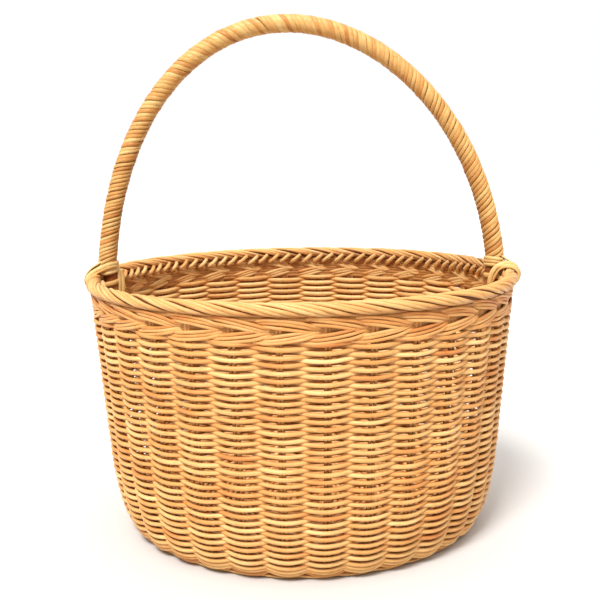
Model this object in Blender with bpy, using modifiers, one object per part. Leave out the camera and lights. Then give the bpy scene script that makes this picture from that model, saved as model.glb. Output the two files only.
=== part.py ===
"""Egg collection basket: a round cane basket with a fixed bow handle.

Metres, +Z up. The origin is on the ground under the middle of the base. The bow handle spans
along X, and its crown stands a little nearer the -X foot, as on a hand-bent bow.

The basket is stake-and-strand work. Eight sticks cross four over four and fan out to sixteen
spokes. Two pairs of stakes stand beside each spoke end and turn up into the wall. Weavers go
over one pair and under the next, so each band of them is a ring that waves in and out.
"""

import math

import bmesh
import bpy
from mathutils import Vector

# Driving dimensions
REED = 0.0024
GAP = 0.0003
SPOKES = 16
STAKES = 2 * SPOKES

# Wall, measured on the middle line of the stakes
WALL_TOP_RADIUS = 0.1437
WALL_LOW_RADIUS = 0.1345
WALL_LOW_HEIGHT = 0.0590
STAKE_TOP = 0.1675
TURN_IN = 0.0115
TAIL_RADIUS = 0.1065
CORNER_RADIUS = 0.1185

# Heights of the edges between the weaver bands, from the turn of the base up to the wale
BAND_EDGES = (0.0120, 0.0230, 0.0370, WALL_LOW_HEIGHT, 0.0820, 0.1050, 0.1285, 0.1525)
WALE_MIDDLE = 0.1594
WALE_TOP = 0.1662

# Rolled border on the rim, and the braid of stake ends inside it
BORDER_RADIUS = 0.1450
BORDER_HALF_WIDTH = 0.0050
BORDER_HALF_HEIGHT = 0.0046
RIM_HEIGHT = 0.1780
BRAID_RADIUS = 0.1387
BRAID_TUBE = 0.0022
BRAID_HEIGHT = 0.1690
BRAID_END = math.radians(4.6)

# Base
STICK_RADIUS = 0.0020
STICK_SPACING = 0.0052
STICK_BEND_RADIUS = 0.0205
STICK_END_RADIUS = 0.1045
BASE_WEAVE_EDGES = (0.0215, 0.0630, 0.1040)
FOOT_RING_INNER = 0.1052
FOOT_RING_OUTER = 0.1170
FOOT_RING_HEIGHT = 0.0034
FOOT_RING_CORNER = 0.0010
GROUND_CLEARANCE = 0.0010

# Bow handle: half an ellipse with its crown moved along X, on legs that follow the wall inside
BOW_HALF_SPAN = 0.1378
BOW_SPRING_HEIGHT = 0.1620
BOW_RISE = 0.1848
BOW_SKEW = -0.0087
BOW_RADIUS = 0.0050
BOW_SWELL = 0.0005
BOW_TIP_RADIUS = 0.0026
BOW_TIP_HEIGHT = 0.0980
LAP_THICKNESS = 0.0013
LAP_FOOT_HEIGHT = 0.1850
LASHING_RADIUS = 0.0010

# Worked out from the above
HALF_WALL = 1.5 * REED + GAP
BASE_HEIGHT = FOOT_RING_HEIGHT + GAP + REED / 2
BASE_STICKS = SPOKES // 2
BASE_MIDDLE = GROUND_CLEARANCE + STICK_RADIUS + GAP + REED
BORDER_HEIGHT = RIM_HEIGHT - BORDER_HALF_HEIGHT

CANE = (0.87, 0.60, 0.29)


def clear_scene():
    for ob in list(bpy.data.objects):
        bpy.data.objects.remove(ob, do_unlink=True)


def cane(name, tint, roughness):
    """A Principled material in a lighter or darker tone of cane."""
    mat = bpy.data.materials.new(name)
    mat.use_nodes = True
    shader = mat.node_tree.nodes["Principled BSDF"]
    colour = [min(1.0, c * tint) for c in CANE]
    shader.inputs["Base Color"].default_value = (*colour, 1.0)
    shader.inputs["Roughness"].default_value = roughness
    shader.inputs["Metallic"].default_value = 0.0
    return mat


def add_object(name, data, mat):
    ob = bpy.data.objects.new(name, data)
    if mat.name not in data.materials:
        data.materials.append(mat)
    basket.objects.link(ob)
    return ob


def rod(name, points, radius, mat, sides=6, cyclic=False, caps=True, swell=None):
    """A round rod: a POLY curve with a bevel. swell scales the radius at each point."""
    data = bpy.data.curves.new(name, "CURVE")
    data.dimensions = "3D"
    data.bevel_depth = radius
    data.bevel_resolution = (sides - 4) // 2
    data.use_fill_caps = caps
    spline = data.splines.new("POLY")
    spline.points.add(len(points) - 1)
    for i, place in enumerate(points):
        spline.points[i].co = (*place, 1.0)
        spline.points[i].radius = swell[i] if swell else 1.0
    spline.use_cyclic_u = cyclic
    return add_object(name, data, mat)


def loft_ring(name, sections, mat):
    """A closed ring through cross-sections that differ all the way round."""
    bm = bmesh.new()
    rows = [[bm.verts.new(corner) for corner in section] for section in sections]
    for row, following in zip(rows, rows[1:] + rows[:1], strict=True):
        for j in range(len(row)):
            k = (j + 1) % len(row)
            bm.faces.new((row[j], row[k], following[k], following[j]))
    bmesh.ops.recalc_face_normals(bm, faces=bm.faces)
    mesh = bpy.data.meshes.new(name)
    bm.to_mesh(mesh)
    bm.free()
    return add_object(name, mesh, mat)


def turned_ring(name, profile, steps, mat):
    """A ring turned about Z from a closed profile that runs down its outer side."""
    bm = bmesh.new()
    corners = [bm.verts.new((radius, 0.0, height)) for radius, height in profile]
    for a, b in zip(corners, corners[1:] + corners[:1], strict=True):
        bm.edges.new((a, b))
    mesh = bpy.data.meshes.new(name)
    bm.to_mesh(mesh)
    bm.free()
    ob = add_object(name, mesh, mat)
    screw = ob.modifiers.new("turn", "SCREW")
    screw.steps = steps
    screw.render_steps = steps
    screw.use_merge_vertices = True
    screw.merge_threshold = 0.0001
    return ob


def round_wall(radius, angle, height):
    return (radius * math.cos(angle), radius * math.sin(angle), height)


def wave(count, half_flat):
    """Angle (in stake steps), width offset and side of each corner of a band round its stakes."""
    for i in range(count):
        side = 1 if i % 2 == 0 else -1
        for end in (-half_flat, half_flat):
            yield 2 * math.pi * (i + 0.5) / count, end, side


def wall_radius(height):
    """Radius of the stakes' middle line: a leaning line with an elliptic turn-in below."""
    lean = (WALL_TOP_RADIUS - WALL_LOW_RADIUS) / (STAKE_TOP - WALL_LOW_HEIGHT)
    radius = WALL_LOW_RADIUS + lean * (height - WALL_LOW_HEIGHT)
    if height < WALL_LOW_HEIGHT:
        drop = (WALL_LOW_HEIGHT - height) / (WALL_LOW_HEIGHT - BASE_HEIGHT)
        radius -= TURN_IN * (1.0 - math.sqrt(1.0 - drop * drop))
    return radius


def mitres(line):
    """At each point of a profile, the outward offset that keeps lines beside it parallel."""
    runs = [(Vector(b) - Vector(a)).normalized() for a, b in zip(line, line[1:], strict=False)]
    normals = [Vector((run.y, -run.x)) for run in runs]
    found = [normals[0]]
    for before, after in zip(normals, normals[1:], strict=False):
        middle = (before + after).normalized()
        found.append(middle / middle.dot(before))
    return [*found, normals[-1]]


def make_stakes(mat):
    """Pairs of reeds side by side. A pair is one rod, twice as wide round the wall as thick."""
    bends = [height for height in BAND_EDGES if height <= WALL_LOW_HEIGHT]
    points = [(TAIL_RADIUS, 0.0, BASE_HEIGHT), (CORNER_RADIUS, 0.0, BASE_HEIGHT)]
    points += [(wall_radius(height), 0.0, height) for height in (*bends, STAKE_TOP)]
    first = rod("stake_pair_01", points, REED / 2, mat)
    for i in range(STAKES):
        pair = first if i == 0 else add_object(f"stake_pair_{i + 1:02d}", first.data, mat)
        pair.scale = (1.0, 2.0, 1.0)
        pair.rotation_euler.z = 2 * math.pi * (i + 0.5) / STAKES


def make_bands(weaver_mat, wale_mat):
    """Weaver bands up the wall, then the two rounds of wale that make its arrow pattern."""
    line = [(CORNER_RADIUS, BASE_HEIGHT)]
    line += [(wall_radius(height), height) for height in (*BAND_EDGES, WALE_MIDDLE, WALE_TOP)]
    offsets = mitres([(TAIL_RADIUS, BASE_HEIGHT), *line])[1:]
    names = [f"weaver_band_{i + 1}" for i in range(len(BAND_EDGES))]
    names += ["wale_lower", "wale_upper"]
    reach = REED + 3 * GAP
    middle = REED + GAP
    for i, name in enumerate(names):
        low, high = Vector(line[i]), Vector(line[i + 1])
        inset = (high - low).normalized() * GAP / 2
        sections = []
        for angle, end, side in wave(STAKES, reach):
            turn = angle + end / low.x
            centre = middle * side * (1 if i % 2 == 0 else -1)
            inner, outer = centre - REED / 2, centre + REED / 2
            corners = (
                low + offsets[i] * inner + inset,
                low + offsets[i] * outer + inset,
                high + offsets[i + 1] * outer - inset,
                high + offsets[i + 1] * inner - inset,
            )
            sections.append([round_wall(corner.x, turn, corner.y) for corner in corners])
        loft_ring(name, sections, wale_mat if name.startswith("wale") else weaver_mat)


def make_base(stick_mat, weave_mat):
    """Four sticks crossed over four, fanned out to even spokes, and woven round in two rings."""
    half = BASE_STICKS // 2
    for layer in range(2):
        rise = (STICK_RADIUS + GAP / 2) * (1 if layer else -1)
        for i in range(half):
            across = (i - (half - 1) / 2) * STICK_SPACING
            fan = (i - (half - 1) / 2) * 2 * math.pi / SPOKES
            right = [
                (half * STICK_SPACING / 2 + STICK_RADIUS, across, rise),
                round_wall(STICK_BEND_RADIUS, fan, 0.0),
                round_wall(STICK_END_RADIUS, fan, 0.0),
            ]
            left = [(-x, y, z) for x, y, z in reversed(right)]
            name = f"base_stick_{layer * half + i + 1}"
            stick = rod(name, left + right, STICK_RADIUS, stick_mat)
            stick.location.z = BASE_MIDDLE
            stick.rotation_euler.z = layer * math.pi / 2
    middle = STICK_RADIUS + GAP + REED / 2
    for ring in range(2):
        inner, outer = BASE_WEAVE_EDGES[ring] + GAP, BASE_WEAVE_EDGES[ring + 1] - GAP
        sections = []
        for angle, end, side in wave(SPOKES, STICK_RADIUS + 2 * GAP):
            height = BASE_MIDDLE + middle * side * (-1 if ring else 1)
            edges = ((inner, -1), (outer, -1), (outer, 1), (inner, 1))
            sections.append([
                round_wall(radius, angle + end / radius, height + up * REED / 2)
                for radius, up in edges
            ])
        loft_ring(f"base_weave_{ring + 1}", sections, weave_mat)


def make_foot_ring(mat):
    """The wale round the stake tails under the turn-up, flat below: the basket stands on it."""
    cut = FOOT_RING_CORNER
    profile = (
        (FOOT_RING_OUTER - cut, FOOT_RING_HEIGHT),
        (FOOT_RING_OUTER, FOOT_RING_HEIGHT - cut),
        (FOOT_RING_OUTER, cut),
        (FOOT_RING_OUTER - cut, 0.0),
        (FOOT_RING_INNER, 0.0),
        (FOOT_RING_INNER, FOOT_RING_HEIGHT),
    )
    turned_ring("foot_wale", profile, 2 * STAKES, mat)


def make_rim(border_mat, braid_mat):
    sides = 8
    profile = []
    for i in range(sides):
        turn = 2 * math.pi * i / sides
        radius = BORDER_RADIUS + BORDER_HALF_WIDTH * math.cos(turn)
        profile.append((radius, BORDER_HEIGHT - BORDER_HALF_HEIGHT * math.sin(turn)))
    turned_ring("rolled_border", profile, 2 * STAKES, border_mat)
    steps = 26
    for name, start in (("rim_braid_back", 0.0), ("rim_braid_front", math.pi)):
        points = []
        for i in range(steps + 1):
            turn = start + BRAID_END + (math.pi - 2 * BRAID_END) * i / steps
            points.append(round_wall(BRAID_RADIUS, turn, BRAID_HEIGHT))
        rod(name, points, BRAID_TUBE, braid_mat)


def bow_arch(turn):
    """A point of the bow above the rim, from 0 at the -X foot to pi at the +X foot."""
    x = -BOW_HALF_SPAN * math.cos(turn) + BOW_SKEW * math.sin(turn) ** 2
    return Vector((x, 0.0, BOW_SPRING_HEIGHT + BOW_RISE * math.sin(turn)))


def leg_offset(height):
    """How far from the middle a leg stands where it lies against the inside of the wall."""
    return wall_radius(height) - HALF_WALL - GAP - BOW_RADIUS


def make_bow(bow_mat, lap_mat):
    start = math.asin((LAP_FOOT_HEIGHT - BOW_SPRING_HEIGHT) / BOW_RISE)
    steps = 34
    turns = [start + (math.pi - 2 * start) * i / steps for i in range(steps + 1)]
    arch = [bow_arch(turn) for turn in turns]
    rise = [math.sin(turn) for turn in turns]
    tip, entry = BOW_TIP_HEIGHT, WALE_TOP
    leg = [(tip, BOW_TIP_RADIUS), (tip + 0.012, BOW_RADIUS), (entry, BOW_RADIUS)]
    leg += [(BORDER_HEIGHT, BOW_RADIUS)]
    left = [Vector((-leg_offset(min(z, entry)), 0.0, z)) for z, _ in leg]
    right = [Vector((leg_offset(min(z, entry)), 0.0, z)) for z, _ in reversed(leg)]
    widths = [radius / BOW_RADIUS for _, radius in leg]
    swell = [1.0 + BOW_SWELL / BOW_RADIUS * up for up in rise]
    rod("handle_bow", left + arch + right, BOW_RADIUS, bow_mat, sides=8,
        swell=widths + swell + widths[::-1])
    lap_radius = BOW_RADIUS + GAP + LAP_THICKNESS / 2
    lap_swell = [(lap_radius + BOW_SWELL * up) / lap_radius for up in rise]
    lap = rod("handle_lapping", arch, lap_radius, lap_mat, sides=8, caps=False, swell=lap_swell)
    shell = lap.modifiers.new("thickness", "SOLIDIFY")
    shell.thickness = LAP_THICKNESS
    shell.offset = 0.0


def make_lashings(mat):
    """A cane loop at each foot: round the leg inside, under the border and across it outside."""
    height = WALE_TOP + GAP + LASHING_RADIUS
    leg = leg_offset(WALE_TOP)
    hug = BOW_RADIUS + GAP + LASHING_RADIUS
    outside = BORDER_RADIUS + BORDER_HALF_WIDTH + 2 * GAP + LASHING_RADIUS
    points = []
    for i in range(7):
        turn = math.pi / 2 + math.pi * i / 6
        points.append((leg + hug * math.cos(turn), hug * math.sin(turn), height))
    points += [
        (BORDER_RADIUS, -hug, height),
        (outside - LASHING_RADIUS, -hug, height + LASHING_RADIUS),
        (outside, -hug, BORDER_HEIGHT - BORDER_HALF_HEIGHT / 2),
        (outside, -hug / 2, BORDER_HEIGHT),
        (outside, hug / 2, BORDER_HEIGHT),
        (outside, hug, BORDER_HEIGHT - BORDER_HALF_HEIGHT / 2),
        (outside - LASHING_RADIUS, hug, height + LASHING_RADIUS),
        (BORDER_RADIUS, hug, height),
    ]
    right = rod("foot_lashing_right", points, LASHING_RADIUS, mat, cyclic=True)
    left = add_object("foot_lashing_left", right.data, mat)
    left.rotation_euler.z = math.pi


clear_scene()
basket = bpy.data.collections.new("egg_basket")
bpy.context.scene.collection.children.link(basket)

stake_cane = cane("stake_cane", 0.92, 0.55)
weaver_cane = cane("weaver_cane", 1.00, 0.50)
rim_cane = cane("rim_cane", 1.08, 0.45)
bow_cane = cane("bow_cane", 0.85, 0.55)
split_cane = cane("split_cane", 1.02, 0.42)

make_base(stake_cane, weaver_cane)
make_foot_ring(weaver_cane)
make_stakes(stake_cane)
make_bands(weaver_cane, rim_cane)
make_rim(rim_cane, rim_cane)
make_bow(bow_cane, split_cane)
make_lashings(split_cane)
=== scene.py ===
"""The looks of the egg collection basket: woven round reeds, a rolled rim and a lapped handle.

Every reed is a swept mesh tube with its own tone. Lengths are in metres. Angles run round the
basket from +X, and one "step" is the angle from one pair of stakes to the next.
"""
import math

import bpy
import numpy as np
from mathutils import Matrix, Vector


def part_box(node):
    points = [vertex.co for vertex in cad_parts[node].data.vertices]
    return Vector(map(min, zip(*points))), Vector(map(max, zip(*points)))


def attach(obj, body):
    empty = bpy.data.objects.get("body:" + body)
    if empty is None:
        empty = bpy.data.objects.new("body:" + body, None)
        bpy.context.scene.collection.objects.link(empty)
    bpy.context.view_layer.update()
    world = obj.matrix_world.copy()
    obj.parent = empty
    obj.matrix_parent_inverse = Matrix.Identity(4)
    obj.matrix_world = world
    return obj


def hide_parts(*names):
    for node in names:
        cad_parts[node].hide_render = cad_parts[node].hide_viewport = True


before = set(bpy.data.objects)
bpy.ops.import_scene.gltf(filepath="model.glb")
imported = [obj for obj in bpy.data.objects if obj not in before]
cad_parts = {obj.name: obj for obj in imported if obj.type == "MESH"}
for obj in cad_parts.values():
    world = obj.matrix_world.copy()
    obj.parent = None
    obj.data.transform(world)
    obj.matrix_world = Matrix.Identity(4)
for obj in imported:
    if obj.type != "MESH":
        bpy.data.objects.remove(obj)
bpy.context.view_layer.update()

# Driving dimensions, the same as the CAD's
SPOKES = 16
STAKES = 32
WALL_BANDS = 8
STEP = 2 * math.pi / STAKES
REED = 0.0024
GAP = 0.0003
WALL_TOP_RADIUS = 0.1437
WALL_LOW_RADIUS = 0.1345
WALL_LOW_HEIGHT = 0.0590
STAKE_TOP = 0.1675
TURN_IN = 0.0115
TAIL_RADIUS = 0.1065
CORNER_RADIUS = 0.1185
RIM_HALF_WIDTH = 0.0050
STICK_RADIUS = 0.0020
STICK_SPACING = 0.0052
STICK_BEND_RADIUS = 0.0205
BOW_HALF_SPAN = 0.1378
BOW_SPRING_HEIGHT = 0.1620
BOW_RISE = 0.1848
BOW_SKEW = -0.0087
BOW_RADIUS = 0.0050
LAP_FOOT_HEIGHT = 0.1850
LEG_INSET = 1.5 * REED + 2 * GAP + BOW_RADIUS

# Read from the frame
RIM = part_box("rolled_border")
RIM_HALF_HEIGHT = (RIM[1].z - RIM[0].z) / 2
RIM_RADIUS = RIM[1].x - RIM_HALF_WIDTH
RIM_HEIGHT = (RIM[1].z + RIM[0].z) / 2
WALE_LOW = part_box("wale_lower")[0].z
WALE_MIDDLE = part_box("wale_upper")[0].z
WALE_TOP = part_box("wale_upper")[1].z
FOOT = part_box("foot_wale")
TAIL_HEIGHT = FOOT[1].z + GAP + REED / 2
BASE_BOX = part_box("base_weave_1")
BASE_MIDDLE = (BASE_BOX[0].z + BASE_BOX[1].z) / 2
BASE_WEAVE_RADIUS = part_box("base_weave_2")[1].x
BOW_TIP_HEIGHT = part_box("handle_bow")[0].z

# Radii of the reeds, half the thickness of a split strip, and the pitch and sag of the wall's
# rounds
WEAVER = 0.00136
STAKE = 0.0012
TWINE = 0.00106
BORDER_REED = 0.00116
BRAID_REED = 0.00154
STRIP = 0.00058
ROW_PITCH = 0.00232
SAG = 0.0005

# Painted shade on the hidden side of a reed, where its neighbours shade it: its share at the
# reed's edges, its depth, how much deeper it is on an out side than on the other, and how fast it
# fades
PAINTED_SHADE_EDGE = 0.32
PAINTED_SHADE_DEPTH = 0.79
PAINTED_SHADE_OUTSIDE = 0.18
PAINTED_SHADE_FADE = 1.4


# ---------------------------------------------------------------- lines and curves

def unit(vectors):
    """The vectors, each at length 1."""
    return vectors / np.linalg.norm(vectors, axis=-1, keepdims=True)


def lengths_along(points):
    """The length of a line from its start to each of its points."""
    return np.concatenate([[0], np.cumsum(np.linalg.norm(np.diff(points, axis=0), axis=1))])


def columns_at(place, places, columns):
    """Each column of values, read off at place."""
    return np.stack([np.interp(place, places, column) for column in columns.T], -1)


def smooth_line(knots, count):
    """A Catmull-Rom curve through the knots, at evenly spaced points."""
    knots = np.asarray(knots, float)
    padded = np.vstack([2 * knots[0] - knots[1], knots, 2 * knots[-1] - knots[-2]])
    t = np.linspace(0, 1, 24, endpoint=False)[:, None]
    fine = []
    for i in range(1, len(padded) - 2):
        p0, p1, p2, p3 = padded[i - 1 : i + 3]
        square = 2 * p0 - 5 * p1 + 4 * p2 - p3
        cube = 3 * p1 - p0 - 3 * p2 + p3
        fine.append(0.5 * (2 * p1 + (p2 - p0) * t + square * t**2 + cube * t**3))
    fine = np.vstack([*fine, knots[-1:]])
    length = lengths_along(fine)
    return columns_at(np.linspace(0, length[-1], count), length, fine)


def ring_points(radius, angle, height):
    """Points at a radius from the basket's axis, at an angle round it and at a height."""
    return np.stack([radius * np.cos(angle), radius * np.sin(angle), height + 0 * angle], -1)


def outward(angle, rise=0.0):
    """Unit directions away from the axis, tipped up by rise."""
    flat = np.sqrt(1 - np.square(rise))
    return np.stack([flat * np.cos(angle), flat * np.sin(angle), rise + 0 * angle], -1)


def whole_turn(points):
    """Angles of evenly spaced points once round a circle."""
    return np.arange(points) / points * 2 * np.pi


# ---------------------------------------------------------------- random curves

def waver(angle, rng, size, harmonics=9):
    """A smooth closed random curve over the angle, of about the given size."""
    spread = 1.7
    total = np.zeros_like(angle)
    for k in range(1, harmonics + 1):
        total += rng.normal() / math.sqrt(k) * np.sin(k * angle + rng.uniform(0, 2 * np.pi))
    return size * total / spread


def per_stake(steps, rng, size):
    """A random offset for each stake, eased from one to the next."""
    values = rng.normal(0, size, STAKES)
    low = np.floor(steps).astype(int)
    part = steps - low
    part = part * part * (3 - 2 * part)
    return values[low % STAKES] * (1 - part) + values[(low + 1) % STAKES] * part


def wander(place, rng, size, knots):
    """A random line over place, straight between evenly spaced knots."""
    return np.interp(place, np.linspace(place[0], place[-1], knots), rng.normal(0, size, knots))


def random_tone(rng, middle, spread, low, high):
    """A tone drawn about the middle and kept between low and high."""
    return np.clip(rng.normal(middle, spread), low, high)


# ---------------------------------------------------------------- sweeping reeds

class Piece:
    """Collects swept reeds into one mesh, with a reed's length and girth in its UV map."""

    def __init__(self, name):
        self.name = name
        self.verts, self.loops, self.sizes, self.uvs, self.tones = [], [], [], [], []
        self.count = 0

    def reed(self, path, out, thick, wide, sides=8, closed=False, tone=0.5, seed=0.0, shade=0.0,
             cover=1.0):
        """A reed along path. thick is its half-size along out, wide its half-size across.

        tone picks its colour, from 0 light to 1 dark, and shade paints shade all round it. Painted
        shade also gathers where a reed is hidden: cover is 1 where its out side shows, -1 where its
        other side does and 0 where both do. The sizes, tone, shade and cover may vary along the path.
        """
        path = np.asarray(path, float)
        out = np.broadcast_to(np.asarray(out, float), path.shape)
        thick, wide, tone, shade, cover = (
            np.broadcast_to(np.asarray(value, float), (len(path),))[:, None]
            for value in (thick, wide, tone, shade, cover)
        )
        if closed:
            along = unit(np.roll(path, -1, 0) - np.roll(path, 1, 0))
        else:
            along = unit(np.gradient(path, axis=0))
        side = unit(np.cross(along, out))
        face = np.cross(side, along)
        turn = whole_turn(sides)
        rings = (
            path[:, None]
            + face[:, None] * (thick * np.cos(turn))[..., None]
            + side[:, None] * (wide * np.sin(turn))[..., None]
        )
        # Painted shade on the hidden side of the reed and at its edges, where its neighbours shade it
        hidden = PAINTED_SHADE_EDGE * np.abs(cover) - (1 - PAINTED_SHADE_EDGE) * cover * np.cos(turn)
        hidden_shade = (PAINTED_SHADE_DEPTH + PAINTED_SHADE_OUTSIDE * np.cos(turn)) * np.clip(hidden, 0, 1) ** PAINTED_SHADE_FADE
        colour = np.broadcast_arrays(tone, seed, np.clip(shade + hidden_shade, 0, 1), 1.0)
        self.add_faces(path, sides, closed)
        self.verts.append(rings.reshape(-1, 3))
        self.tones.append(np.stack(colour, -1).reshape(-1, 4))
        self.count += len(path) * sides

    def add_faces(self, path, sides, closed):
        """Quads between the rings of a reed, and a cap on each open end."""
        n = len(path)
        length = lengths_along(np.vstack([path, path[:1]]) if closed else path)
        spans = n if closed else n - 1
        i, j = np.meshgrid(np.arange(spans), np.arange(sides), indexing="ij")
        ring, next_ring = i * sides, (i + 1) % n * sides
        k = (j + 1) % sides
        quads = np.stack([ring + j, ring + k, next_ring + k, next_ring + j], -1)
        u = np.stack([length[i], length[i], length[i + 1], length[i + 1]], -1)
        v = np.stack([j, j + 1, j + 1, j], -1) / sides
        self.loops.append((quads + self.count).reshape(-1))
        self.sizes.append(np.full(spans * sides, 4))
        self.uvs.append(np.stack([u, v], -1).reshape(-1, 2))
        if closed:
            return
        for end, order in ((0, -1), (n - 1, 1)):
            cap = (end * sides + np.arange(sides))[::order]
            self.loops.append(cap + self.count)
            self.sizes.append(np.array([sides]))
            self.uvs.append(np.stack([np.full(sides, length[end]), np.full(sides, 0.5)], -1))

    def build(self, material, slot, *replaced):
        """Makes the mesh and its object, which rides on the root in place of the replaced nodes."""
        mesh = bpy.data.meshes.new(self.name)
        verts = np.concatenate(self.verts)
        loops = np.concatenate(self.loops)
        sizes = np.concatenate(self.sizes)
        mesh.vertices.add(len(verts))
        mesh.vertices.foreach_set("co", verts.astype(np.float32).ravel())
        mesh.loops.add(len(loops))
        mesh.loops.foreach_set("vertex_index", loops.astype(np.int32))
        mesh.polygons.add(len(sizes))
        starts = np.concatenate([[0], np.cumsum(sizes)[:-1]])
        mesh.polygons.foreach_set("loop_start", starts.astype(np.int32))
        mesh.polygons.foreach_set("loop_total", sizes.astype(np.int32))
        mesh.polygons.foreach_set("use_smooth", np.ones(len(sizes), bool))
        uv = mesh.uv_layers.new(name="reed")
        uv.uv.foreach_set("vector", np.concatenate(self.uvs).astype(np.float32).ravel())
        tone = mesh.attributes.new("tone", "FLOAT_COLOR", "POINT")
        tone.data.foreach_set("color", np.concatenate(self.tones).astype(np.float32).ravel())
        mesh.update(calc_edges=True)
        mesh.validate()
        mesh.materials.append(material)
        ob = bpy.data.objects.new(self.name, mesh)
        bpy.context.scene.collection.objects.link(ob)
        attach(ob, "root")
        if replaced:
            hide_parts(*replaced)


# ---------------------------------------------------------------- wall profile

def wall_radius(height):
    """Radius of the stakes' middle line, as in the CAD."""
    lean = (WALL_TOP_RADIUS - WALL_LOW_RADIUS) / (STAKE_TOP - WALL_LOW_HEIGHT)
    height = np.asarray(height, float)
    radius = WALL_LOW_RADIUS + lean * (height - WALL_LOW_HEIGHT)
    drop = np.clip((WALL_LOW_HEIGHT - height) / (WALL_LOW_HEIGHT - TAIL_HEIGHT), 0, 1)
    return radius - TURN_IN * (1 - np.sqrt(1 - drop * drop))


def stake_profile(tail_points):
    """Dense points (radius, height) of a stake from its tail in the base to its top."""
    drop = np.linspace(math.pi / 2, 0, 60)
    heights = WALL_LOW_HEIGHT - (WALL_LOW_HEIGHT - TAIL_HEIGHT) * np.sin(drop)
    bend = np.stack([wall_radius(heights), heights], -1)
    tail_radius = np.linspace(TAIL_RADIUS, bend[0, 0], tail_points + 1)[:-1]
    tail = np.stack([tail_radius, np.full(tail_points, TAIL_HEIGHT)], -1)
    straight = np.linspace(WALL_LOW_HEIGHT, STAKE_TOP, 40)[1:]
    top = np.stack([wall_radius(straight), straight], -1)
    return np.concatenate([tail, bend, top])


TAIL_POINTS = 11
PROFILE = stake_profile(TAIL_POINTS)
PROFILE_LENGTH = lengths_along(PROFILE)


def profile_at(length):
    """(radius, height, outward normal) on the stake line at a length from the tail."""
    reach = 0.004
    place = columns_at(length, PROFILE_LENGTH, PROFILE)
    ahead = columns_at(length + reach, PROFILE_LENGTH, PROFILE)
    behind = columns_at(length - reach, PROFILE_LENGTH, PROFILE)
    run = unit(ahead - behind)
    return place[..., 0], place[..., 1], np.stack([run[..., 1], -run[..., 0]], -1)


def length_at_height(height):
    """The length from the tail to where the stake line reaches a height."""
    return float(np.interp(height, PROFILE[TAIL_POINTS:, 1], PROFILE_LENGTH[TAIL_POINTS:]))


# ---------------------------------------------------------------- materials

def node(tree, kind, **values):
    """A new node. A value named in_NAME sets the input of that name."""
    made = tree.nodes.new(kind)
    for key, value in values.items():
        if key.startswith("in_"):
            made.inputs[key[3:].replace("_", " ")].default_value = value
        else:
            setattr(made, key, value)
    return made


def feed(tree, socket, value):
    """Gives an input another node's output, or a plain value."""
    if isinstance(value, bpy.types.NodeSocket):
        tree.links.new(value, socket)
    else:
        socket.default_value = value


def calc(tree, operation, *values, clamp=False):
    """The result of a Math node on sockets and numbers."""
    made = node(tree, "ShaderNodeMath", operation=operation, use_clamp=clamp)
    for socket, value in zip(made.inputs, values, strict=False):
        feed(tree, socket, value)
    return made.outputs[0]


def noise(tree, place, detail, roughness=0.5):
    """Noise at a place given by two or three sockets."""
    spot = node(tree, "ShaderNodeCombineXYZ")
    for socket, value in zip(spot.inputs, place, strict=False):
        feed(tree, socket, value)
    made = node(tree, "ShaderNodeTexNoise", in_Scale=1.0, in_Detail=detail, in_Roughness=roughness)
    feed(tree, made.inputs["Vector"], spot.outputs[0])
    return made.outputs["Fac"]


def ramp(tree, share, stops):
    """The colour of a ramp at share."""
    made = tree.nodes.new("ShaderNodeValToRGB")
    points = made.color_ramp.elements
    while len(points) < len(stops):
        points.new(0.5)
    for point, (place, colour) in zip(points, stops, strict=True):
        point.position = place
        point.color = (*colour, 1.0)
    feed(tree, made.inputs["Fac"], share)
    return made.outputs["Color"]


def tinted(tree, share, colour, tint):
    """A colour multiplied by a tint, by share."""
    made = node(tree, "ShaderNodeMix", data_type="RGBA", blend_type="MULTIPLY")
    feed(tree, made.inputs["Factor"], share)
    feed(tree, made.inputs["A"], colour)
    feed(tree, made.inputs["B"], tint)
    return made.outputs["Result"]


def linear(red, green, blue):
    """A linear colour from 0 to 255 display values."""
    return tuple(
        c / 12.92 if c <= 0.04045 else ((c + 0.055) / 1.055) ** 2.4
        for c in (red / 255, green / 255, blue / 255)
    )


CANE_IOR = 1.48
CANE_SPECULAR = 0.3
FLECK_STOPS = ((0.28, (0.72, 0.60, 0.48)), (0.42, (1.0, 1.0, 1.0)))
# The brown that painted shade tints the cane toward
PAINTED_SHADE_COLOUR = (0.34, 0.15, 0.03, 1.0)

# How far the tone drifts along a reed and from fibre to fibre, how strongly flecks and painted
# shade tint it, and how far apart in the noise two reeds lie
DRIFT = 1.15
FIBRE = 0.5
FLECK_SHARE = 0.6
PAINTED_SHADE_SHARE = 0.95
SEED_SPREAD = 37.0


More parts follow.
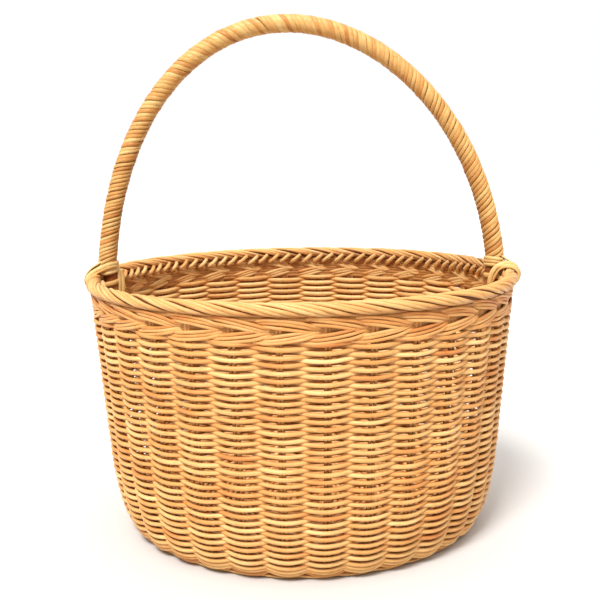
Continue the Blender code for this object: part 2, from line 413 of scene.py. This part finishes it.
def cane_material(name, tones, roughness, stretch=1.0):
    """Peeled cane: tone drifts along each reed, with fine fibres, flecks and a soft gloss.

    The reed's own tone, seed and painted shade come from its colour attribute. stretch packs the
    pattern closer along the reed.
    """
    mat = bpy.data.materials.new(name)
    mat.use_nodes = True
    tree = mat.node_tree
    shader = tree.nodes["Principled BSDF"]
    shader.inputs["IOR"].default_value = CANE_IOR
    shader.inputs["Specular IOR Level"].default_value = CANE_SPECULAR

    place = node(tree, "ShaderNodeSeparateXYZ")
    feed(tree, place.inputs[0], node(tree, "ShaderNodeUVMap", uv_map="reed").outputs["UV"])
    along, around = place.outputs["X"], place.outputs["Y"]
    own = node(tree, "ShaderNodeSeparateColor")
    tone = node(tree, "ShaderNodeAttribute", attribute_name="tone")
    feed(tree, own.inputs[0], tone.outputs["Color"])
    seed = calc(tree, "MULTIPLY", own.outputs["Green"], SEED_SPREAD)

    def pattern(per_metre, round_reed, detail, roughness=0.5):
        """Noise with a given number of features to a metre of reed and round the reed."""
        spot = (
            calc(tree, "MULTIPLY", along, per_metre * stretch),
            calc(tree, "MULTIPLY", around, round_reed),
            seed,
        )
        return noise(tree, spot, detail, roughness)

    drift = noise(tree, (calc(tree, "MULTIPLY", along, 24.0 * stretch), seed), 3.0, 0.6)
    fibre = pattern(55.0, 15.0, 4.0, 0.65)
    fleck = pattern(260.0, 6.0, 2.0)

    # The tone is the reed's own, plus and minus some drift and a little fibre
    drift_share = calc(tree, "MULTIPLY_ADD", drift, DRIFT, -DRIFT / 2)
    share = calc(tree, "ADD", own.outputs["Red"], drift_share)
    fibre_share = calc(tree, "MULTIPLY_ADD", fibre, FIBRE, -FIBRE / 2)
    colour = ramp(tree, calc(tree, "ADD", share, fibre_share, clamp=True), tones)
    colour = tinted(tree, FLECK_SHARE, colour, ramp(tree, fleck, FLECK_STOPS))
    # The colour attribute's blue is painted shade, which tints the cane brown
    painted_shade = calc(tree, "MULTIPLY", own.outputs["Blue"], PAINTED_SHADE_SHARE)
    feed(tree, shader.inputs["Base Color"], tinted(tree, painted_shade, colour, PAINTED_SHADE_COLOUR))

    gloss = node(tree, "ShaderNodeMapRange", in_From_Min=0.3, in_From_Max=0.7,
                 in_To_Min=roughness - 0.09, in_To_Max=roughness + 0.12)
    feed(tree, gloss.inputs[0], fibre)
    feed(tree, shader.inputs["Roughness"], gloss.outputs[0])
    relief = node(tree, "ShaderNodeBump", in_Strength=0.35, in_Distance=0.0004)
    feed(tree, relief.inputs["Height"], calc(tree, "MULTIPLY_ADD", fleck, 0.4, fibre))
    feed(tree, shader.inputs["Normal"], relief.outputs["Normal"])
    return mat


weaver_cane = cane_material("weaver_cane_look", (
    (0.00, linear(252, 209, 143)),
    (0.30, linear(228, 178, 112)),
    (0.55, linear(218, 156, 88)),
    (0.78, linear(205, 129, 68)),
    (1.00, linear(178, 95, 44)),
), 0.46)
rim_cane = cane_material("rim_cane_look", (
    (0.00, linear(234, 196, 136)),
    (0.40, linear(227, 173, 107)),
    (0.70, linear(215, 148, 81)),
    (1.00, linear(188, 109, 51)),
), 0.42)
stake_cane = cane_material("stake_cane_look", (
    (0.00, linear(226, 172, 102)),
    (0.50, linear(196, 136, 74)),
    (1.00, linear(150, 94, 46)),
), 0.55)
lap_cane = cane_material("split_cane_look", (
    (0.00, linear(231, 199, 136)),
    (0.35, linear(220, 174, 105)),
    (0.65, linear(205, 143, 76)),
    (1.00, linear(160, 93, 43)),
), 0.38, stretch=1.4)
# A dark cane for the border's core: its colour is painted shade, seen between the strands
core_shade_cane = cane_material("core_cane_look", (
    (0.00, linear(120, 68, 30)),
    (1.00, linear(70, 38, 16)),
), 0.7)


# ---------------------------------------------------------------- stakes

def make_stakes():
    """Each pair of stakes is two round reeds side by side, a little unlike in girth and lean."""
    per_piece = 4
    wobble, spacing = 0.00003, 1.02 * STAKE
    rng = np.random.default_rng(11)
    radius, height, normal = profile_at(np.linspace(0, PROFILE_LENGTH[-1], 44))
    for first in range(0, STAKES, per_piece):
        piece = Piece(f"stakes_{first // per_piece + 1}")
        names = []
        for i in range(first, first + per_piece):
            names.append(f"stake_pair_{i + 1:02d}")
            angle = np.full_like(radius, (i + 0.5) * STEP)
            across = np.stack([-np.sin(angle), np.cos(angle), 0 * angle], -1)
            out = np.stack([normal[:, 0] * np.cos(angle), normal[:, 0] * np.sin(angle), normal[:, 1]], -1)
            for side in (-1, 1):
                apart = side * spacing + np.cumsum(rng.normal(0, wobble, len(radius)))
                path = ring_points(radius, angle, height) + across * apart[:, None]
                size = STAKE * rng.uniform(0.95, 1.0)
                piece.reed(path, out, size, size, tone=rng.uniform(0.25, 0.6), seed=rng.random())
        piece.build(stake_cane, "stake_cane", *names)


# ---------------------------------------------------------------- plain weave

def weave_wave(steps, k):
    """(beat, wave) of round k of plain weave: 1 where it passes outside a stake, -1 inside.

    beat is a plain cosine. wave is squarer, so the reed lies close to the stakes.
    """
    squareness = 0.22
    beat = np.cos(np.pi * (steps - 0.5)) * (1 if k % 2 else -1)
    return beat, beat * (1 + squareness - squareness * beat * beat)


def place_rounds(rng):
    """Where each round of the wall lies on the stake line, and how fat its reed is.

    The rounds crowd together where the wall turns up from the base.
    """
    bend_length, bend_spread, bend_crowding = 0.0182, 0.0022, 0.9
    start = FOOT[1].x - TAIL_RADIUS - 0.2 * REED
    end = length_at_height(WALE_LOW) + 0.9 * REED
    lengths = np.linspace(start, end, 2000)
    crowd = 1 + bend_crowding * np.exp(-np.square((lengths - bend_length) / bend_spread))
    packed = np.cumsum(crowd) * (end - start) / len(lengths)
    rounds = int(packed[-1] / ROW_PITCH)
    fat = rng.normal(1.0, 0.045, rounds).clip(0.9, 1.1)
    middles = (np.cumsum(fat) - fat / 2) * packed[-1] / np.sum(fat)
    return np.interp(middles, packed, lengths), fat


def make_wall():
    """Rounds of plain weave. Each passes outside every other pair of stakes, the next the rest.

    Passes inside the wall are wider, and painted lighter in tone to stand in for light inside the
    basket. Painted shade darkens them the lower they lie.
    """
    per_piece = 2
    per_step = 9
    shaded_height = 0.13
    press, first_drift, kept_drift, jitter = 0.00005, 0.0003, 0.97, 0.00005
    rng = np.random.default_rng(23)
    middles, fat = place_rounds(rng)
    steps = np.arange(STAKES * per_step) / per_step
    angle = steps * STEP
    swing = STAKE + WEAVER - press
    bands = [f"weaver_band_{i + 1}" for i in range(WALL_BANDS)]
    tops = [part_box(band)[1].z for band in bands]
    drift = per_stake(steps, rng, first_drift)
    for row in range(0, len(fat), per_piece):
        piece = Piece(f"weavers_{row // per_piece + 1:02d}")
        drift = kept_drift * drift + per_stake(steps, rng, jitter)
        for k in range(row, min(row + per_piece, len(fat))):
            beat, wave = weave_wave(steps, k)
            inside = np.clip(-3 * beat, 0, 1)
            along = middles[k] + drift + waver(angle, rng, 0.00003) + per_stake(steps, rng, jitter)
            radius, height, normal = profile_at(along - SAG * beat * beat)
            offset = swing * wave * (1 + waver(angle, rng, 0.03))
            path = ring_points(radius + normal[:, 0] * offset, angle, height + normal[:, 1] * offset)
            out = outward(angle, np.clip(normal[:, 1], -0.999, 0.999))
            thick = WEAVER * fat[k]
            spread = 1.0 + 0.05 * np.abs(beat) + 0.20 * np.clip(-beat, 0, 1)
            wide = thick * spread * (1 + waver(angle, rng, 0.02))
            # Painted light: passes inside the wall get a lighter tone
            tone = random_tone(rng, 0.42, 0.10, 0.15, 0.75) - 0.3 * inside
            # Painted shade on passes inside the wall, deeper toward the base
            depth = np.clip(1 - path[:, 2] / shaded_height, 0, 1)
            piece.reed(path, out, thick, wide, closed=True, tone=tone, seed=rng.random(),
                       shade=0.6 * depth * inside, cover=np.tanh(3 * beat))
        level = profile_at(middles[row])[1]
        band = min(int(np.searchsorted(tops, level)), len(bands) - 1)
        piece.build(weaver_cane, "weaver_cane", bands[band])


# ---------------------------------------------------------------- base

BASE_ROUND_PITCH = 0.0021
FIRST_ROUND_RADIUS = 0.0158
BASE_ROUNDS_START = 0.0222


def make_spokes(rng):
    """Four sticks crossed over four, fanned out to even spokes."""
    half = SPOKES // 4
    end_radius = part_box("base_stick_2")[1].x
    for layer in (0, 1):
        piece = Piece(f"spokes_{layer + 1}")
        rise = (STICK_RADIUS + GAP / 2) * (1 if layer else -1)
        for i in range(half):
            across = (i - (half - 1) / 2) * STICK_SPACING
            fan = (i - (half - 1) / 2) * 2 * math.pi / SPOKES
            knots = [
                (0.0, across, rise),
                (half * STICK_SPACING / 2 + STICK_RADIUS, across, rise),
                (STICK_BEND_RADIUS * math.cos(fan), STICK_BEND_RADIUS * math.sin(fan), 0.0),
                (end_radius * math.cos(fan), end_radius * math.sin(fan), 0.0),
            ]
            knots = [(-x, y, z) for x, y, z in knots[:0:-1]] + knots
            path = smooth_line(knots, 60)
            path[:, 2] += BASE_MIDDLE
            if layer:
                path = path[:, [1, 0, 2]] * np.array([-1, 1, 1])
            # Painted shade all round the spokes
            piece.reed(path, (0, 0, 1.0), STICK_RADIUS, STICK_RADIUS, sides=10,
                       tone=rng.uniform(0.2, 0.6), seed=rng.random(), shade=0.2, cover=0.0)
        names = [f"base_stick_{layer * half + i + 1}" for i in range(half)]
        piece.build(stake_cane, "stake_cane", *names)


def make_base_rounds(rng):
    """Rounds of plain weave over and under the spokes."""
    per_piece = 4
    points_per_radius = 160
    reed = WEAVER * 0.97
    rounds = int((BASE_WEAVE_RADIUS - BASE_ROUNDS_START) / BASE_ROUND_PITCH)
    swing = STICK_RADIUS + WEAVER - 0.0001
    for row in range(0, rounds, per_piece):
        piece = Piece(f"base_weavers_{row // per_piece + 1:02d}")
        for k in range(row, min(row + per_piece, rounds)):
            radius = BASE_ROUNDS_START + (k + 0.5) * BASE_ROUND_PITCH
            count = SPOKES * max(8, int(radius * points_per_radius))
            angle = whole_turn(count)
            beat, wave = weave_wave(angle * SPOKES / (2 * math.pi), k)
            middle = radius + waver(angle, rng, 0.00006)
            path = ring_points(middle, angle, BASE_MIDDLE + swing * wave)
            seed = rng.random()
            # Painted shade all round, and on the hidden side where the round passes a spoke
            piece.reed(path, (0, 0, 1.0), reed, reed, closed=True, seed=seed,
                       tone=random_tone(rng, 0.42, 0.12, 0.12, 0.8), shade=0.4, cover=np.tanh(3 * beat))
        ring = "base_weave_1" if row * 2 < rounds else "base_weave_2"
        piece.build(weaver_cane, "weaver_cane", ring)


def make_first_rounds(rng):
    """The first three rounds, which go over and under the four arms of the cross."""
    piece = Piece("base_first_rounds")
    reed = WEAVER * 0.95
    rounds = 3
    cross_edge, low_reach, high_reach = 0.0124, 0.0011, 0.00325
    angle = whole_turn(96)
    for k in range(rounds):
        radius = FIRST_ROUND_RADIUS + BASE_ROUND_PITCH * k
        share = (radius - cross_edge) / (STICK_BEND_RADIUS - cross_edge)
        reach = low_reach + (high_reach - low_reach) * share
        side = np.tanh(2.0 * np.cos(2 * angle)) * (-1 if k % 2 else 1)
        path = ring_points(radius, angle, BASE_MIDDLE + reach * side)
        # Painted shade all round, and on the hidden side where the round passes the cross
        piece.reed(path, (0, 0, 1.0), reed, reed, closed=True, tone=0.45, seed=rng.random(),
                   shade=0.2, cover=side)
    piece.build(weaver_cane, "weaver_cane")


def make_foot_wale(rng):
    """What the basket stands on: ropes of two strands side by side under the stake tails."""
    piece = Piece("foot_wale_strands")
    strand = 0.00085
    ropes = 6
    inner = BASE_WEAVE_RADIUS + GAP
    width = (CORNER_RADIUS + REED / 2 - inner) / ropes
    per_step = 10
    angle = np.arange(STAKES * per_step) / per_step * STEP
    for rope in range(ropes):
        middle = inner + (rope + 0.5) * width
        for half_turn in (0, 1):
            twist = angle * STAKES / 2 + math.pi * half_turn + rope * math.pi / 2
            lift = (FOOT[1].z / 2 - strand) * np.cos(twist)
            sway = strand * np.sin(twist)
            path = ring_points(middle + sway, angle, FOOT[1].z / 2 + lift)
            # Painted shade all round the strands
            piece.reed(path, outward(angle), strand, strand, closed=True,
                       tone=rng.uniform(0.3, 0.6), seed=rng.random(), shade=0.15, cover=0.0)
    piece.build(weaver_cane, "weaver_cane", "foot_wale")


def make_base():
    """The round flat base, from the crossed sticks out to what it stands on."""
    rng = np.random.default_rng(31)
    make_spokes(rng)
    make_base_rounds(rng)
    make_first_rounds(rng)
    make_foot_wale(rng)


# ---------------------------------------------------------------- arrow wale

# Each round of the wale: its name, how far it lies above the middle of the wale, and how far its
# outer passes lean off that height at their start and at their end
WALE_ROUNDS = (
    ("wale_lower", -0.0041, 0.0022, 0.0028),
    ("wale_upper", 0.0046, 0.0023, 0.0034),
)


def skewed_wave(phase, climb_share):
    """A wave of period 2 that climbs from -1 to 1 over climb_share of it, then falls, smoothed."""
    place = (phase + 1) % 2 - 1
    climb = place / climb_share
    fall = np.sign(place) * (1 - np.abs(place)) / (1 - climb_share)
    wave = np.where(np.abs(place) < climb_share, climb, fall)
    weights = np.array([1, 2, 3, 2, 1]) / 9
    return sum(weight * np.roll(wave, shift) for shift, weight in zip(range(-2, 3), weights, strict=True))


def make_wale():
    """Two rounds of twining with three reeds to a weaver, twisted opposite ways into arrows.

    The outer passes are longer than the inner ones, and the three reeds bunch up between them.
    The two rounds draw together inside the wall.
    """
    rng = np.random.default_rng(47)
    per_step = 12
    steps = np.arange(STAKES * per_step) / per_step
    angle = steps * STEP
    middle = WALE_MIDDLE + 0.0016
    lag, climb_share = 0.16, 0.62
    squareness, outer_excess = 1.5, 0.30
    drawn_in, fanned_out, clearance = 0.15, 0.0010, 0.0002
    swing = STAKE + TWINE
    for name, away, start_lean, end_lean in WALE_ROUNDS:
        slant = -1 if away > 0 else 1
        for weaver in (0, 1):
            piece = Piece(f"{name}_weaver_{weaver + 1}")
            phase = steps - 0.5 - weaver - lag
            side = np.tanh(squareness * (np.cos(np.pi * phase) + outer_excess))
            side = side / np.tanh(squareness * (1 + outer_excess))
            climb = skewed_wave(phase, climb_share)
            passing = np.clip(1.3 * np.abs(side) - 0.3, 0, 1)
            bunch = 0.74 + 0.26 * passing**0.8
            jitter = per_stake(steps, rng, 0.0003)
            for lane in (-1, 0, 1):
                lean = np.where(climb > 0, end_lean, start_lean) * climb
                lean = slant * lean * (1 + per_stake(steps, rng, 0.16))
                height = middle + away * (1 - drawn_in * (1 - side)) + lean + jitter
                height = height + lane * 2 * TWINE * bunch + per_stake(steps, rng, 0.00025)
                depth = swing * side - slant * lane * fanned_out * (1 - passing)
                path = ring_points(wall_radius(height) + depth + clearance, angle, height)
                wide = TWINE * (1.04 + 0.25 * np.clip(-side, 0, 1))
                # Painted light: passes inside the wall get a lighter tone
                tone = random_tone(rng, 0.56, 0.16, 0.2, 0.9) - 0.3 * np.clip(-3 * side, 0, 1)
                piece.reed(path, outward(angle), TWINE, wide, closed=True, tone=tone,
                           seed=rng.random(), cover=side)
            piece.build(rim_cane, "rim_cane", name)


# ---------------------------------------------------------------- rolled border

BORDER_ACROSS = RIM_HALF_WIDTH - BORDER_REED
BORDER_UP = RIM_HALF_HEIGHT - BORDER_REED


def make_border():
    """The stakes roll over each other round the rim: three groups of three reeds in a long twist.

    Each piece is one reed of every group: it runs three times round before it meets its own start.
    """
    rng = np.random.default_rng(53)
    groups, strands, laps = 3, 3, 3
    per_step = 6
    strand_turn = math.radians(33)
    start_turn = 0.4
    shade_turn = 0.35
    steps = np.arange(STAKES * per_step * laps) / per_step
    angle = steps * STEP
    for strand in range(strands):
        piece = Piece(f"border_strand_{strand + 1}")
        twist = (strand - 1) * strand_turn + start_turn - steps * 2 * math.pi / groups
        twist = twist + per_stake(steps, rng, 0.09)
        proud = 0.97 + per_stake(steps, rng, 0.035)
        radius = RIM_RADIUS + BORDER_ACROSS * proud * np.cos(twist)
        height = RIM_HEIGHT + BORDER_UP * proud * np.sin(twist)
        out = ring_points(np.cos(twist), angle, np.sin(twist))
        # Painted shade on the underside of each strand
        underside_shade = np.clip(-0.9 * np.sin(twist + shade_turn), 0, 0.7)
        piece.reed(ring_points(radius, angle, height), out, BORDER_REED, BORDER_REED * 1.08,
                   closed=True, tone=0.34 + 0.07 * strand, seed=rng.random(), shade=underside_shade)
        piece.build(rim_cane, "rim_cane", "rolled_border")


def make_filling():
    """What keeps light from showing through the rim.

    It is a core in the border, dark with painted shade, and hidden rounds of flattened reed, with
    painted shade, packed in the plane of the stakes, from the border down through the wale. The top
    round is two reeds side by side.
    """
    angle = whole_turn(192)
    overlap = 0.45 * BORDER_REED
    core = Piece("border_core")
    core.reed(ring_points(RIM_RADIUS, angle, RIM_HEIGHT), outward(angle), BORDER_ACROSS - overlap,
              BORDER_UP - overlap, sides=10, closed=True, tone=0.5)
    core.build(core_shade_cane, "rim_cane")
    levels, pitch, below_border = 7, 0.0022, 0.0010
    half_thick, half_wide = 0.0011, 0.0015
    inner, outer = -0.0010, 0.0013
    packing = Piece("rim_packing")
    for level in range(levels):
        height = RIM[0].z - below_border - pitch * level
        for shift in (inner,) if level else (inner, outer):
            path = ring_points(wall_radius(STAKE_TOP) + shift, angle, height)
            # Painted shade on the rounds of packing
            packing.reed(path, outward(angle), half_thick, half_wide, closed=True, tone=0.4,
                         seed=0.1 * level + 10 * shift, shade=0.27, cover=0.0)
    packing.build(stake_cane, "rim_cane")


def make_braid():
    """Inside the rim each reed end turns down in a short slanting stroke.

    foot_gap is the angle left clear at each end of a braid for the handle's feet.
    """
    rng = np.random.default_rng(59)
    strokes = STAKES * 3
    foot_gap = 0.07
    reach = 0.0085 / RIM_RADIUS
    top, drop, bulge = RIM_HEIGHT - 0.0010, 0.0066, 0.0016
    t = np.linspace(0, 1, 9)
    for name, low in (("rim_braid_back", 0.0), ("rim_braid_front", math.pi)):
        piece = Piece(f"{name}_strokes")
        for i in range(strokes):
            middle = (i + 0.5) * 2 * math.pi / strokes
            if not low + foot_gap < middle < low + math.pi - foot_gap:
                continue
            angle = middle + (t - 0.5) * reach * rng.normal(1, 0.1) + rng.normal(0, 0.0035)
            height = top - drop * t + rng.normal(0, 0.0003)
            belly = bulge * np.sin(np.pi * t) ** 0.7
            radius = RIM_RADIUS - RIM_HALF_WIDTH - belly + bulge * t**4
            path = ring_points(radius, angle, height)
            # Painted shade darkens each stroke toward its ends
            piece.reed(path, -outward(angle), BRAID_REED, BRAID_REED,
                       tone=random_tone(rng, 0.25, 0.14, 0.0, 0.7), seed=rng.random(),
                       shade=0.35 * np.abs(2 * t - 1) ** 2)
        piece.build(rim_cane, "rim_cane", name)


# ---------------------------------------------------------------- handle

TOWARD_FRONT = np.array([0.0, -1.0, 0.0])


def bow_line(count):
    """The bow from the -X leg over to the +X leg, evenly spaced: legs inside the wall, then arch."""
    start = math.asin((LAP_FOOT_HEIGHT - BOW_SPRING_HEIGHT) / BOW_RISE)
    turn = np.linspace(start, math.pi - start, 36)
    x = -BOW_HALF_SPAN * np.cos(turn) + BOW_SKEW * np.sin(turn) ** 2
    z = BOW_SPRING_HEIGHT + BOW_RISE * np.sin(turn)
    arch = np.stack([x, 0 * x, z], -1)
    heights = np.array([BOW_TIP_HEIGHT, BOW_TIP_HEIGHT + 0.03, WALE_TOP, RIM_HEIGHT])
    inset = wall_radius(np.minimum(heights, WALE_TOP)) - LEG_INSET
    leg = np.stack([inset, 0 * inset, heights], -1)
    left = leg * np.array([-1, 1, 1])
    return smooth_line(np.vstack([left, arch, leg[::-1]]), count)


def make_bow(line, out):
    """The cane bow, tapered at its tips, with painted shade all along that is darkest at the rim."""
    taper_length = 0.016
    rim_shade_height = 0.009
    tip = np.clip((line[:, 2] - BOW_TIP_HEIGHT) / taper_length, 0, 1)
    radius = BOW_RADIUS * (0.5 + 0.5 * np.sqrt(tip))
    # Painted shade all along the bow, darkest where it passes the rim
    shade = 0.25 + 0.75 * np.exp(-np.square((line[:, 2] - RIM_HEIGHT) / rim_shade_height))
    bow = Piece("bow")
    bow.reed(line, out, radius, radius, sides=16, tone=0.3, seed=0.3, shade=shade, cover=0.0)
    bow.build(stake_cane, "bow_cane", "handle_bow")


def make_lapping(line, out):
    """Strips of split cane wound side by side, at a closer pitch near the -X foot."""
    rng = np.random.default_rng(61)
    strips = 6
    low_pitch, high_pitch = 0.0169, 0.0208
    widening_start, widening_share = 0.08, 0.25
    lap_radius, squeeze, half_thick = 0.0059, 0.0004, 0.00076
    foot_height = RIM_HEIGHT + 0.0060
    length = lengths_along(line)
    lapped = length[line[:, 2] > foot_height]
    place = np.linspace(lapped[0], lapped[-1], 620)
    share = (place - place[0]) / (place[-1] - place[0])
    climb = np.clip((share - widening_start) / widening_share, 0, 1)
    pitch = low_pitch + (high_pitch - low_pitch) * climb * climb * (3 - 2 * climb)
    turns = np.concatenate([[0], np.cumsum(np.diff(place) / pitch[1:])])
    crown = np.sin(np.pi * share)
    spot = columns_at(place, length, line)
    direction = unit(columns_at(place, length, out))
    for strip in range(strips):
        piece = Piece(f"lapping_{strip + 1}")
        turn = 2 * np.pi * (turns + strip / strips) + wander(place, rng, 0.12, 44)
        radial = direction * np.cos(turn)[:, None] + TOWARD_FRONT * np.sin(turn)[:, None]
        radius = lap_radius - squeeze * crown + wander(place, rng, 0.00012, 60)
        width = pitch / strips * (0.42 + 0.12 * crown**3) * (1 + wander(place, rng, 0.08, 50))
        # Darker on the inner side of the handle: partly painted shade and partly stain
        piece.reed(spot + radial * radius[:, None], radial, half_thick, width, sides=10,
                   tone=rng.uniform(0.35, 0.66), seed=rng.random(),
                   shade=0.05 + 0.25 * np.clip(-np.cos(turn), 0, 1))
        piece.build(lap_cane, "split_cane", "handle_lapping")


def make_handle():
    """The bow and the lapping wound round it."""
    line = bow_line(700)
    out = np.cross(TOWARD_FRONT, unit(np.gradient(line, axis=0)))
    make_bow(line[::3], out[::3])
    make_lapping(line, out)


# ---------------------------------------------------------------- feet of the handle

# The feet are drawn at +X and mirrored for the -X one, by way
SADDLE_MIDDLE = np.array([0.1420, 0.0, 0.1730])
LEG_MIDDLE = np.array([0.1366, 0.0, 0.1860])


def mirror(way):
    """What a +X place is multiplied by to stand at the foot that way points to."""
    return np.array([way, 1, 1])


def over_border(path, way):
    """Facings of strips that lie over the border."""
    return (path - SADDLE_MIDDLE * mirror(way)) * np.array([1, 0, 1])


def beside_leg(path, way):
    """Facings of strips that pass the leg on one side and lean on the border."""
    return 0.5 * unit(over_border(path, way)) + np.sign(path[:, 1:2]) * np.array([0, 1.0, 0])


def round_leg(path, way):
    """Facings of strips that go round the leg and then off beside it."""
    away = (path - LEG_MIDDLE * mirror(way)) * np.array([1, 1, 0])
    far = np.linalg.norm(away, axis=1, keepdims=True)
    hug, leave = 0.0080, 0.0060
    share = np.clip((far - hug) / leave, 0, 1)
    return away / far * (1 - share) + beside_leg(path, way) * share


def inside_wall(path, way):
    """Facings of strips that stand inside the wall, toward the front."""
    return np.broadcast_to(np.array([-0.5 * way, -1.0, 0.0]), path.shape)


def lay_strip(piece, way, knots, facing, rng, half_width, tone):
    """A flat strip of split cane through the knots, its broad side turned to facing."""
    path = smooth_line(np.array(knots) * mirror(way), 40)
    piece.reed(path, facing(path, way), STRIP, half_width, tone=tone, seed=rng.random())


def side_strips(piece, way, rng):
    """Two strips that rise inside the rim beside the leg and go down over the border."""
    side = -way
    for k in range(2):
        knots = [
            (0.1316, 0.0080 * side, 0.1660 - 0.0010 * k),
            (0.1326 + 0.0022 * k, 0.0086 * side, 0.1730 - 0.0006 * k),
            (0.1364 + 0.0014 * k, 0.0092 * side, 0.1788 - 0.0016 * k),
            (0.1428, (0.0094 + 0.0020 * k) * side, 0.1812 - 0.0016 * k),
            (0.1488 - 0.0004 * k, (0.0088 + 0.0024 * k) * side, 0.1796 - 0.0012 * k),
            (0.1519, (0.0076 + 0.0026 * k) * side, 0.1745),
            (0.1508, (0.0066 + 0.0026 * k) * side, 0.1690),
            (0.1455, (0.0060 + 0.0026 * k) * side, 0.1664),
        ]
        lay_strip(piece, way, knots, beside_leg, rng, half_width=0.0017, tone=0.22 + 0.14 * k)


def border_strips(piece, way, rng):
    """Strips from the leg over the border and under it: three layers of four side by side."""
    per_layer, spacing, layer_step = 4, 0.0038, 0.0018
    for k in range(3 * per_layer):
        y = spacing * (k % per_layer - 1.5)
        under = layer_step * (2 - k // per_layer)
        knots = [
            (0.1394, y * 0.4, 0.1872 - under),
            (0.1432 - under / 2, y * 0.75, 0.1842 - under),
            (0.1484 - under, y, 0.1802 - under),
            (0.1519 - under, y, 0.1752),
            (0.1514 - under, y, 0.1698),
            (0.1455, y, 0.1668),
        ]
        lay_strip(piece, way, knots, over_border, rng, half_width=0.0020, tone=0.2 + 0.12 * (k % 2))


def leg_laps(piece, way, rng):
    """Turns of strip round the leg, one below the rim and three above it, a little tilted."""
    leg_x, hug, tilt, half_thick = 0.1364, 0.0068, 0.0013, 0.0006
    laps = ((-0.0026, 0.0018), (0.0052, 0.00125), (0.0075, 0.00125), (0.0098, 0.00125))
    turn = whole_turn(32)
    radial = np.stack([np.cos(turn), np.sin(turn), 0 * turn], -1)
    for rise, half_width in laps:
        height = RIM_HEIGHT + rise - tilt * np.cos(turn - 0.7) * way
        path = radial * hug + np.stack([leg_x * way + 0 * turn, 0 * turn, height], -1)
        piece.reed(path, radial, half_thick, half_width, closed=True, tone=rng.uniform(0.15, 0.4),
                   seed=rng.random())


def upright_strips(piece, way, rng):
    """Two strips that stand against the inside of the leg."""
    for k in range(2):
        x = 0.1290 - 0.0025 * k
        knots = [
            (x + 0.0004, -0.0010 - 0.0012 * k, 0.1812 - 0.0012 * k),
            (x, -0.0014, 0.1750),
            (x - 0.0002, -0.0014, 0.1690),
            (x + 0.0004, -0.0010, 0.1610),
        ]
        lay_strip(piece, way, knots, inside_wall, rng, half_width=0.0013, tone=0.15 + 0.15 * k)


def fan_strips(piece, way, rng):
    """Two strips that go round the leg, then fan out down over the border."""
    for k in range(2):
        knots = np.array([
            (0.1312, 0.0034, 0.1846),
            (0.1300, -0.0034, 0.1846),
            (0.1336, -0.0072, 0.1842),
            (0.1380, -0.0080, 0.1830),
            (0.1440, -0.0084, 0.1804),
            (0.1488, -0.0082, 0.1772),
            (0.1510 - 0.0006 * k, -0.0074, 0.1738),
            (0.1514 - 0.0008 * k, -0.0062, 0.1704),
        ])
        knots = knots - np.array([0, 0, 0.0019 * k])
        lay_strip(piece, way, knots, round_leg, rng, half_width=0.0014, tone=0.15 + 0.1 * k)


def make_feet():
    """Split cane ties each leg to the rim. The -X foot has upright and fanned strips besides."""
    rng = np.random.default_rng(67)
    for name, way in (("foot_lashing_left", -1), ("foot_lashing_right", 1)):
        piece = Piece(f"{name}_strips")
        side_strips(piece, way, rng)
        border_strips(piece, way, rng)
        leg_laps(piece, way, rng)
        if way < 0:
            upright_strips(piece, way, rng)
            fan_strips(piece, way, rng)
        piece.build(lap_cane, "split_cane", name)


# ---------------------------------------------------------------- stage

def aim(direction, roll=0.0):
    """The rotation that turns a lamp or camera to look along direction."""
    turn = Vector(direction).to_track_quat("-Z", "Y").to_matrix()
    return (turn @ Matrix.Rotation(roll, 3, "Z")).to_euler()


def make_floor():
    """A plain floor, just under the basket."""
    mat = bpy.data.materials.new("floor_look")
    mat.use_nodes = True
    shader = mat.node_tree.nodes["Principled BSDF"]
    shader.inputs["Base Color"].default_value = (0.64, 0.64, 0.64, 1.0)
    shader.inputs["Roughness"].default_value = 0.8
    bpy.ops.mesh.primitive_plane_add(size=12, location=(0, 0, -0.0002))
    floor = bpy.context.object
    floor.name = "floor"
    floor.data.materials.append(mat)


def make_studio():
    """A soft overhead light.

    The sky is white at the horizon, so the floor runs into it, and dark above that, which gives
    the reeds their contrast.
    """
    world = bpy.data.worlds.new("studio")
    bpy.context.scene.world = world
    world.use_nodes = True
    tree = world.node_tree
    split = node(tree, "ShaderNodeSeparateXYZ")
    feed(tree, split.inputs[0], node(tree, "ShaderNodeTexCoord").outputs["Generated"])
    sky = ramp(tree, split.outputs["Z"], (
        (0.14, (0.51, 0.51, 0.51)),
        (0.19, (0.07, 0.07, 0.06)),
        (0.45, (0.18, 0.175, 0.165)),
        (0.8, (0.85, 0.83, 0.80)),
    ))
    background = tree.nodes["Background"]
    feed(tree, background.inputs["Color"], sky)
    background.inputs["Strength"].default_value = 2.0


def make_key_light():
    """A wide soft sun from over the camera's left shoulder."""
    sun = bpy.data.lights.new("key", "SUN")
    sun.energy = 3.3
    sun.angle = math.radians(16)
    sun.color = (1.0, 0.985, 0.96)
    lamp = bpy.data.objects.new("key", sun)
    lamp.rotation_euler = aim((0.22, 0.55, -0.80))
    bpy.context.scene.collection.objects.link(lamp)


def make_camera():
    """A camera 0.7 m in front of the basket, 9 cm above the rim, looking about 9 degrees down."""
    pitch, roll = 0.160, -0.015
    data = bpy.data.cameras.new("camera")
    data.sensor_width = 36
    data.lens = 59.6
    data.clip_start = 0.01
    camera = bpy.data.objects.new("camera", data)
    camera.location = (-0.0014, -0.6982, 0.2684)
    camera.rotation_euler = aim((0, math.cos(pitch), -math.sin(pitch)), roll)
    bpy.context.scene.collection.objects.link(camera)
    bpy.context.scene.camera = camera


bpy.context.scene.view_settings.view_transform = "Standard"
make_floor()
make_studio()
make_key_light()
make_camera()
make_stakes()
make_wall()
make_base()
make_wale()
make_border()
make_filling()
make_braid()
make_handle()
make_feet()
